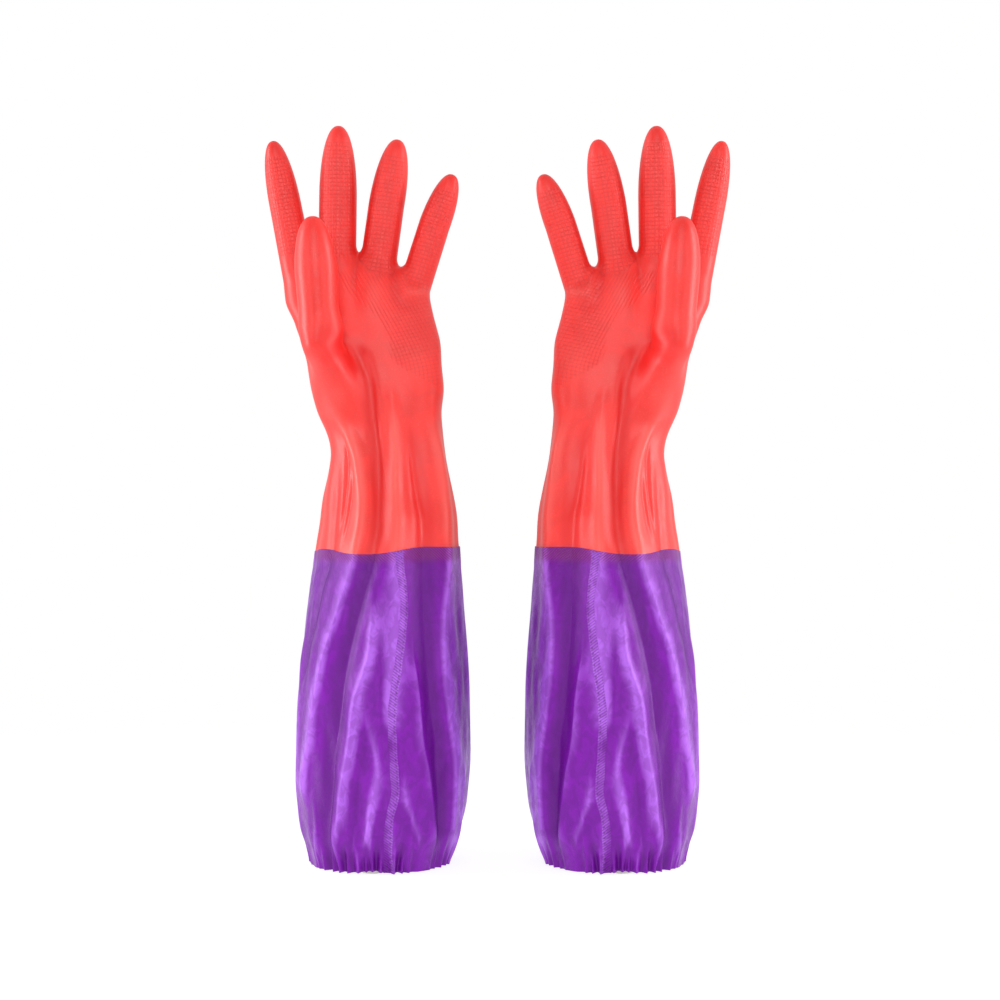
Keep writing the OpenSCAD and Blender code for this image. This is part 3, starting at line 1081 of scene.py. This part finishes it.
class Sleeve:
    """The left sleeve's outer surface: radius as a function of angle from the front and height.
    Angles are in degrees and lengths in millimetres."""

    # height, radius and sideways offset of the sleeve's round shape
    STATIONS = np.array([(0, 46.8, -2.0), (10, 48.6, -1.9), (24, 52.6, -1.5), (42, 55.2, -0.9),
                         (64, 56.8, -0.2), (92, 57.0, 0.3), (124, 56.0, 0.5), (151, 54.1, 1.0),
                         (178, 51.6, 1.7), (192, 49.9, 2.1), (203, 48.1, 2.5), (214, 47.1, 2.9)])
    # height and angle of the seam's middle line
    SEAM = ((0, 10), (38, 9), (55, 12), (68, 11), (108, 9), (142, 13), (178, 17), (207, 13),
            (214, 12))
    # angle at which the hem gapes
    GAPE = -3

    def __init__(self, sizes):
        low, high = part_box("left_sleeve")
        self.axis_x = (low.x + high.x) / 2 / MM
        self.sizes = sizes
        low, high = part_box("left_lap_band")
        self.lap_low, self.lap_high = low.z / MM, high.z / MM

    def round_radius(self, z):
        """Gathered in at the hem, full above it, then narrowing to the gauntlet."""
        return smooth_curve(z, self.STATIONS[:, 0], self.STATIONS[:, 1])

    def pleats(self, angle, z):
        """Small sharp pleats in millimetres, densest at the hem: 0.7 - 1.6 |sin| of half the
        angle times their number, with a wandering phase, fading by 24 mm up, and pleats of half
        that number fading by 58 mm."""
        a = np.radians(angle)
        n = self.sizes.pleats
        phase = 1.4 * np.sin(2 * a + 1.1) + 1.0 * np.sin(5 * a) + 0.6 * np.sin(9 * a + 2)
        phase = phase + 1.2 * np.sin(13 * a + 1)
        size = 0.7 + 0.4 * np.sin(3 * a + 2) + 0.3 * np.sin(7 * a)
        small = 0.7 - 1.6 * np.abs(np.sin((n * a + phase) / 2))
        wide = 0.7 - 1.6 * np.abs(np.sin((n // 2 * a + 0.7 * phase + 0.8) / 2))
        small = small * size * (1 - step(z, 1, 24))
        wide = wide * size * (1 - step(z, 8, 58)) * step(z, -8, 14)
        return self.sizes.pleat_depth / MM * (small + 0.8 * wide)

    def creases(self, angle, z):
        """Slight wandering creases, in millimetres, from crossing waves."""
        a = np.radians(angle)
        waves = np.sin(17 * a + 0.05 * z + 2 * np.sin(3 * a + 0.021 * z))
        waves = waves + 0.8 * np.sin(26 * a - 0.037 * z + 1.6 * np.sin(2 * a - 0.03 * z + 1))
        waves = waves + 0.35 * np.sin(9 * a + 0.16 * z + 2 * np.sin(5 * a))
        return 0.22 * waves * (1 - step(z, 190, 206))

    def pucker(self, angle, z):
        """Short crosswise puckers beside the seam, and the fabric rising to it."""
        off = (angle - self.seam_angle(z)) * 0.95
        beside = bump(off, 0, 8.5)
        return beside * (0.16 * np.sin(0.78 * z + 1.5 * np.sin(0.11 * z) + 0.15 * off) + 0.35)

    def seam_angle(self, z):
        """Angle of the seam's middle line at height z."""
        heights, angles = np.array(self.SEAM, float).T
        return smooth_curve(z, heights, angles)

    def top(self, angle):
        """Height of the fabric's top edge, which dips at the front."""
        a = np.radians(angle)
        angle = (angle + 180) % 360 - 180
        return (
            self.lap_high - 0.4 + 2.2 * np.sin(a) - 2.0 * bump(angle, -4, 24)
            + 1.8 * bump(angle, -58, 22) + 0.4 * np.sin(4 * a)
        )

    def bottom(self, angle):
        """Height of the fabric's lower edge: it rises a little between the pleats' crests, and
        it gapes where the elastic shows."""
        return 0.7 - 0.16 * self.pleats(angle, 0.0) + 1.6 * bump(angle, self.GAPE, 12)

    def radius(self, angle, z):
        """The round shape, the long folds, the creases, the pucker and the pleats, added up."""
        fold = folds(angle, z) * self.sizes.fold / PLAIN_FOLD
        r = self.round_radius(z) + fold + self.creases(angle, z) + self.pucker(angle, z)
        return r + self.pleats(angle, z)

    def crest(self, angle, z):
        """How far the surface stands over the round shape, in millimetres."""
        return self.radius(angle, z) - self.round_radius(z)

    def place(self, angle, z, lift=0.0):
        """The point on the surface, in metres, with lift millimetres added to the radius."""
        a = np.radians(angle)
        r = self.radius(angle, z) + lift
        middle = self.axis_x + smooth_curve(z, self.STATIONS[:, 0], self.STATIONS[:, 2])
        return np.stack([middle + r * np.sin(a), -r * np.cos(a), z + 0 * a], axis=-1) * MM

    def hem_ring(self, angle, r, z):
        """The point at radius r from the hem's middle, in metres."""
        a = np.radians(angle)
        middle = self.axis_x + self.STATIONS[0, 2]
        return np.stack([middle + r * np.sin(a), -r * np.cos(a), z], axis=-1) * MM


# the sleeve's radius at its widest place, in millimetres
WIDEST = 57


def cloth_uv(angle, z):
    """Across and along the cloth, in metres: the angle times the widest radius, and the
    height."""
    return np.stack([np.radians(angle) * WIDEST * MM, z * MM], axis=-1).reshape(-1, 2)


def ring_angles(count):
    """Angles from the back round to the back, so that a map's join lies there."""
    return np.linspace(-180, 180, count, endpoint=False)


def on_both_gloves(name, surface, uv, values, material, node):
    """A piece of the sleeve on each glove, in place of a CAD node. Gives them back by side."""
    pieces = {}
    for side in SIDES:
        piece = add_piece(
            f"{side}_{name}", *surface, {"cloth": uv}, values, material, side == "right"
        )
        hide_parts(f"{side}_{node}")
        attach(piece, side + "_forearm")
        pieces[side] = piece
    return pieces


class GLOVES_OT_sleeves(bpy.types.Operator):
    """The gathered fabric sleeves"""

    bl_idname = "gloves.sleeves"
    bl_label = "Fabric sleeves"

    def execute(self, context):
        _, cloth, colours, _ = settings()
        sleeve = Sleeve(cloth)
        rows, columns = 108, 420
        angle, t = np.meshgrid(ring_angles(columns), np.linspace(0, 1, rows))
        low = sleeve.bottom(angle)
        z = low + (sleeve.top(angle) - 1.0 - low) * t ** 1.15
        wall = grid_wall(sleeve.place(angle, z), True, cloth.thickness)
        crest = doubled(sleeve.crest(angle, z).reshape(-1))
        material = cloth_material("purple_cloth", colours, 0)
        pieces = on_both_gloves(
            "sleeve_cloth", wall, doubled(cloth_uv(angle, z)), {"crest": crest}, material,
            "sleeve",
        )
        return {"FINISHED"}


class GLOVES_OT_laps(bpy.types.Operator):
    """The welded laps where the sleeves meet the gauntlets"""

    bl_idname = "gloves.laps"
    bl_label = "Welded laps"

    # thickness of the welded layers
    WALL = 0.45 * MM

    def execute(self, context):
        _, cloth, colours, _ = settings()
        sleeve = Sleeve(cloth)
        rows, columns = 26, 400
        angle, t = np.meshgrid(ring_angles(columns), np.linspace(0, 1, rows))
        low = sleeve.lap_low
        z = low + 0.5 * np.sin(np.radians(angle) * 3) + (sleeve.top(angle) - low) * t
        lift = 0.2 * step(t, 0, 0.5) * (1 - t ** 12) + 0.02
        wall = grid_wall(sleeve.place(angle, z, lift), True, self.WALL)
        crest = doubled(sleeve.crest(angle, z).reshape(-1))
        fade = (low * MM + 2 * MM, low * MM + 9 * MM)
        material = cloth_material("lap_weld", colours, 0.13 * MM, 0.6, fade)
        on_both_gloves(
            "lap_weld", wall, doubled(cloth_uv(angle, z)), {"crest": crest}, material,
            "lap_band",
        )
        return {"FINISHED"}


class GLOVES_OT_seams(bpy.types.Operator):
    """The sealed seams down the fronts of the sleeves"""

    bl_idname = "gloves.seams"
    bl_label = "Sealed seams"

    # thickness of the tape
    WALL = 0.5 * MM

    def execute(self, context):
        _, cloth, colours, _ = settings()
        sleeve = Sleeve(cloth)
        rows, columns = 320, 15
        across, t = np.meshgrid(np.linspace(-1, 1, columns), np.linspace(0, 1, rows))
        z = 1.2 + (sleeve.top(sleeve.seam_angle(214)) - 1.8) * t
        half = cloth.seam_width / MM / 2 * (1 + 0.06 * np.sin(0.3 * z))
        angle = sleeve.seam_angle(z) + np.degrees(across * half / sleeve.round_radius(z))
        lift = 0.05 + 0.4 * (1 - across ** 4) + 0.3 * step(z, sleeve.lap_low - 3, sleeve.lap_low)
        wall = grid_wall(sleeve.place(angle, z, lift), False, self.WALL)
        uv = np.stack([across * half * MM, z * MM], axis=-1).reshape(-1, 2)
        # raised by 1.2 mm so that the tape takes more painted crest highlight and less painted
        # valley shade
        crest = doubled(sleeve.crest(angle, z).reshape(-1)) + 1.2
        material = cloth_material("seam_weld", colours, 0.08 * MM, 0.45, stitches=True)
        on_both_gloves(
            "seam_tape", wall, doubled(uv), {"crest": crest}, material, "sleeve_seam"
        )
        return {"FINISHED"}


class GLOVES_OT_hems(bpy.types.Operator):
    """The folded, pleated hems that hold the elastic"""

    bl_idname = "gloves.hems"
    bl_label = "Pleated hems"

    # inwards from the sleeve's surface, and height: round the hem's folded section
    SECTION = ((0.5, 8.6), (0.5, 5), (0.55, 2), (0.9, 0.7), (1.6, 0.3), (2.5, 0.6), (3.1, 2),
               (3.2, 5), (3.0, 8), (2.4, 9.2), (1.4, 9.6), (0.7, 9.4))

    def execute(self, context):
        _, cloth, colours, _ = settings()
        sleeve = Sleeve(cloth)
        rows, columns = 37, 752
        knots = np.arange(len(self.SECTION) + 1)
        loop = np.array(self.SECTION + self.SECTION[:1], float)
        around = np.linspace(0, len(self.SECTION), rows)
        angle, t = np.meshgrid(ring_angles(columns), around)
        depth = smooth_curve(t, knots, loop[:, 0])
        height = smooth_curve(t, knots, loop[:, 1])
        height = height + sleeve.bottom(angle) * (1 - step(height, 0, 7))
        inside = step(depth, 0.5, 2.5)
        points = sleeve.place(angle, height, -depth)
        even = sleeve.hem_ring(angle, sleeve.round_radius(height) - depth, height)
        points = points + (even - points) * 0.6 * inside[..., None]
        quads = wrapped_grid(rows, columns)[:, ::-1]
        normals = -grid_normals(points, True).reshape(-1, 3)
        crest = sleeve.crest(angle, height).reshape(-1)
        material = cloth_material("hem_cloth", colours, 0)
        on_both_gloves(
            "hem_channel", (points.reshape(-1, 3), quads, normals),
            cloth_uv(angle, height + 20 * inside), {"crest": crest}, material,
            "hem_casing",
        )
        return {"FINISHED"}


class GLOVES_OT_elastics(bpy.types.Operator):
    """The elastic bands inside the hems"""

    bl_idname = "gloves.elastics"
    bl_label = "Elastic bands"

    # distance inside the hem, and half the band's thickness, in millimetres
    INSET, HALF_THICKNESS = 2.3, 0.55

    def execute(self, context):
        """The section is a rounded oblong: half width and half thickness times the sine and
        cosine, each raised to the power 1/2. The band sinks where the hem gapes."""
        _, cloth, colours, _ = settings()
        sleeve = Sleeve(cloth)
        rows, columns = 25, 480
        angle, t = np.meshgrid(ring_angles(columns), np.linspace(0, 2 * math.pi, rows))
        a = np.radians(angle)
        low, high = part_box("left_elastic")
        height, half = (low.z + high.z) / 2 / MM, (high.z - low.z) / 2 / MM
        gape = bump(angle, sleeve.GAPE, 13)
        z = height - gape * (height - half - 0.2) + half * self.rounded(np.sin(t))
        r = (high.x - low.x) / 2 / MM - self.INSET + self.HALF_THICKNESS * self.rounded(np.cos(t))
        r = r + 0.3 * np.cos(cloth.pleats * a + 1.4 * np.sin(2 * a + 1.1)) + 0.5 * gape
        points = sleeve.hem_ring(angle, r, z)
        normals = grid_normals(points, True).reshape(-1, 3)
        on_both_gloves(
            "elastic_band", (points.reshape(-1, 3), wrapped_grid(rows, columns), normals),
            cloth_uv(angle, z), {}, elastic_material(colours), "elastic",
        )
        return {"FINISHED"}

    def rounded(self, wave):
        """The square root of a wave's size, with its sign."""
        return np.sign(wave) * np.abs(wave) ** 0.5


# ---------------------------------------------------------------- stage


class GLOVES_OT_stage(bpy.types.Operator):
    """The pale floor, the soft lights and the camera"""

    bl_idname = "gloves.stage"
    bl_label = "Stage"

    # name, place, width, height, power in watts
    LIGHTS = (
        ("left_softbox", (-1.25, -0.1, 0.4), 0.4, 1.3, 10),
        ("right_softbox", (1.25, -0.1, 0.4), 0.4, 1.3, 10),
        ("left_strip", (-1.1, -1.35, 0.45), 0.25, 1.2, 4),
        ("right_strip", (1.1, -1.35, 0.45), 0.25, 1.2, 4),
        ("front_softbox", (0, -1.9, 0.6), 0.8, 1.2, 10.5),
        ("top_softbox", (0, -1.4, 1.4), 1.0, 0.5, 3),
    )

    def execute(self, context):
        stage = settings()[3]
        self.add_floor(stage)
        self.add_world()
        for name, place, width, height, power in self.LIGHTS:
            lamp = bpy.data.lights.new(name, "AREA")
            lamp.shape, lamp.size, lamp.size_y, lamp.energy = "RECTANGLE", width, height, power
            light = bpy.data.objects.new(name, lamp)
            light.location = place
            aim = Vector((0, 0, 0.25)) - light.location
            light.rotation_euler = aim.to_track_quat("-Z", "Y").to_euler()
            context.scene.collection.objects.link(light)
        camera = bpy.data.objects.new("camera", bpy.data.cameras.new("camera"))
        camera.location = (stage.aside, -stage.distance, stage.height)
        camera.rotation_euler = (math.pi / 2, 0, 0)
        camera.data.lens = camera.data.sensor_width * stage.distance / stage.field
        context.scene.collection.objects.link(camera)
        context.scene.camera = camera
        context.scene.view_settings.view_transform = "Standard"
        return {"FINISHED"}

    def add_floor(self, stage):
        """A flat disc, rings of quads round its middle, fading out towards its edge."""
        rows, columns = 24, 96
        angle, t = np.meshgrid(np.radians(ring_angles(columns)), np.linspace(0.002, 1, rows))
        r = stage.floor * t ** 1.5
        points = np.stack([r * np.sin(angle), -r * np.cos(angle), 0 * r], axis=-1).reshape(-1, 3)
        g = new_graph("floor")
        place = g.node("ShaderNodeTexCoord", {}, {}, "Object")
        away = g.node("ShaderNodeVectorMath", {"operation": "LENGTH"}, {0: place}, "Value")
        fade = g.ranged(away, 0.35, 0.9, 1.0, 0.0)
        matt = g.node(
            "ShaderNodeBsdfPrincipled", {},
            {"Base Color": (0.3, 0.3, 0.3, 1), "Roughness": 0.9, "Specular IOR Level": 0.0,
             "Emission Color": (1, 1, 1, 1), "Emission Strength": 0.85},
        )
        clear = g.node("ShaderNodeBsdfTransparent", {}, {})
        g.end(g.node("ShaderNodeMixShader", {}, {0: fade, 1: clear, 2: matt}))
        quads = wrapped_grid(rows, columns)
        normals = np.tile((0.0, 0, 1), (len(points), 1))
        floor = add_piece("floor", points, quads[:, ::-1], normals, {}, {}, g.owner, False)
        floor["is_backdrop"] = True

    def add_world(self):
        """White all round for the backdrop. As light it is white behind, above and to the sides,
        and darker in front: strength 0.75, and 0.18 towards -y."""
        world = bpy.data.worlds.new("studio")
        bpy.context.scene.world = world
        g = Graph(world)
        way = g.node("ShaderNodeTexCoord", {}, {}, "Generated")
        front = g.node(
            "ShaderNodeVectorMath", {"operation": "DOT_PRODUCT"}, {0: way, 1: (0, -1, 0.1)}, "Value"
        )
        strength = g.ranged(front, 0.1, 0.85, 0.75, 0.18)
        light = g.node("ShaderNodeBackground", {}, {"Color": (1, 1, 1, 1), "Strength": strength})
        white = g.node("ShaderNodeBackground", {}, {"Color": (1, 1, 1, 1), "Strength": 1.0})
        seen = g.node("ShaderNodeLightPath", {}, {}, "Is Camera Ray")
        shown = g.node("ShaderNodeMixShader", {}, {0: seen, 1: light, 2: white})
        g.end(shown, "ShaderNodeOutputWorld")


class GLOVES_PT_panel(bpy.types.Panel):
    """Lists the gloves' pieces, sizes and colours"""

    bl_label = "Rubber gloves"
    bl_idname = "GLOVES_PT_panel"
    bl_space_type = "VIEW_3D"
    bl_region_type = "UI"
    bl_category = "Gloves"

    def draw(self, context):
        for operator in OPERATORS:
            self.layout.operator(operator.bl_idname)
        for group in settings():
            box = self.layout.box()
            for name in group.__annotations__:
                box.prop(group, name)


OPERATORS = (
    GLOVES_OT_skin, GLOVES_OT_lining, GLOVES_OT_laps, GLOVES_OT_seams, GLOVES_OT_hems,
    GLOVES_OT_elastics, GLOVES_OT_sleeves, GLOVES_OT_stage,
)
GROUPS = {
    "glove_rubber": RubberSizes, "glove_cloth": ClothSizes, "glove_colours": GloveColours,
    "glove_stage": StageSizes,
}


def register():
    for group in GROUPS.values():
        bpy.utils.register_class(group)
    for name, group in GROUPS.items():
        setattr(bpy.types.Scene, name, PointerProperty(type=group))
    for cls in OPERATORS + (GLOVES_PT_panel,):
        bpy.utils.register_class(cls)


def unregister():
    for cls in (GLOVES_PT_panel,) + OPERATORS[::-1]:
        bpy.utils.unregister_class(cls)
    for name, group in GROUPS.items():
        delattr(bpy.types.Scene, name)
        bpy.utils.unregister_class(group)


def main():
    register()
    for operator in OPERATORS:
        family, name = operator.bl_idname.split(".")
        getattr(getattr(bpy.ops, family), name)()
    boxes = {"cad": CAD_BOX, "visual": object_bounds()}
    boxes = {key: [list(map(float, corner)) for corner in box] for key, box in boxes.items()}


if __name__ == "__main__":
    main()
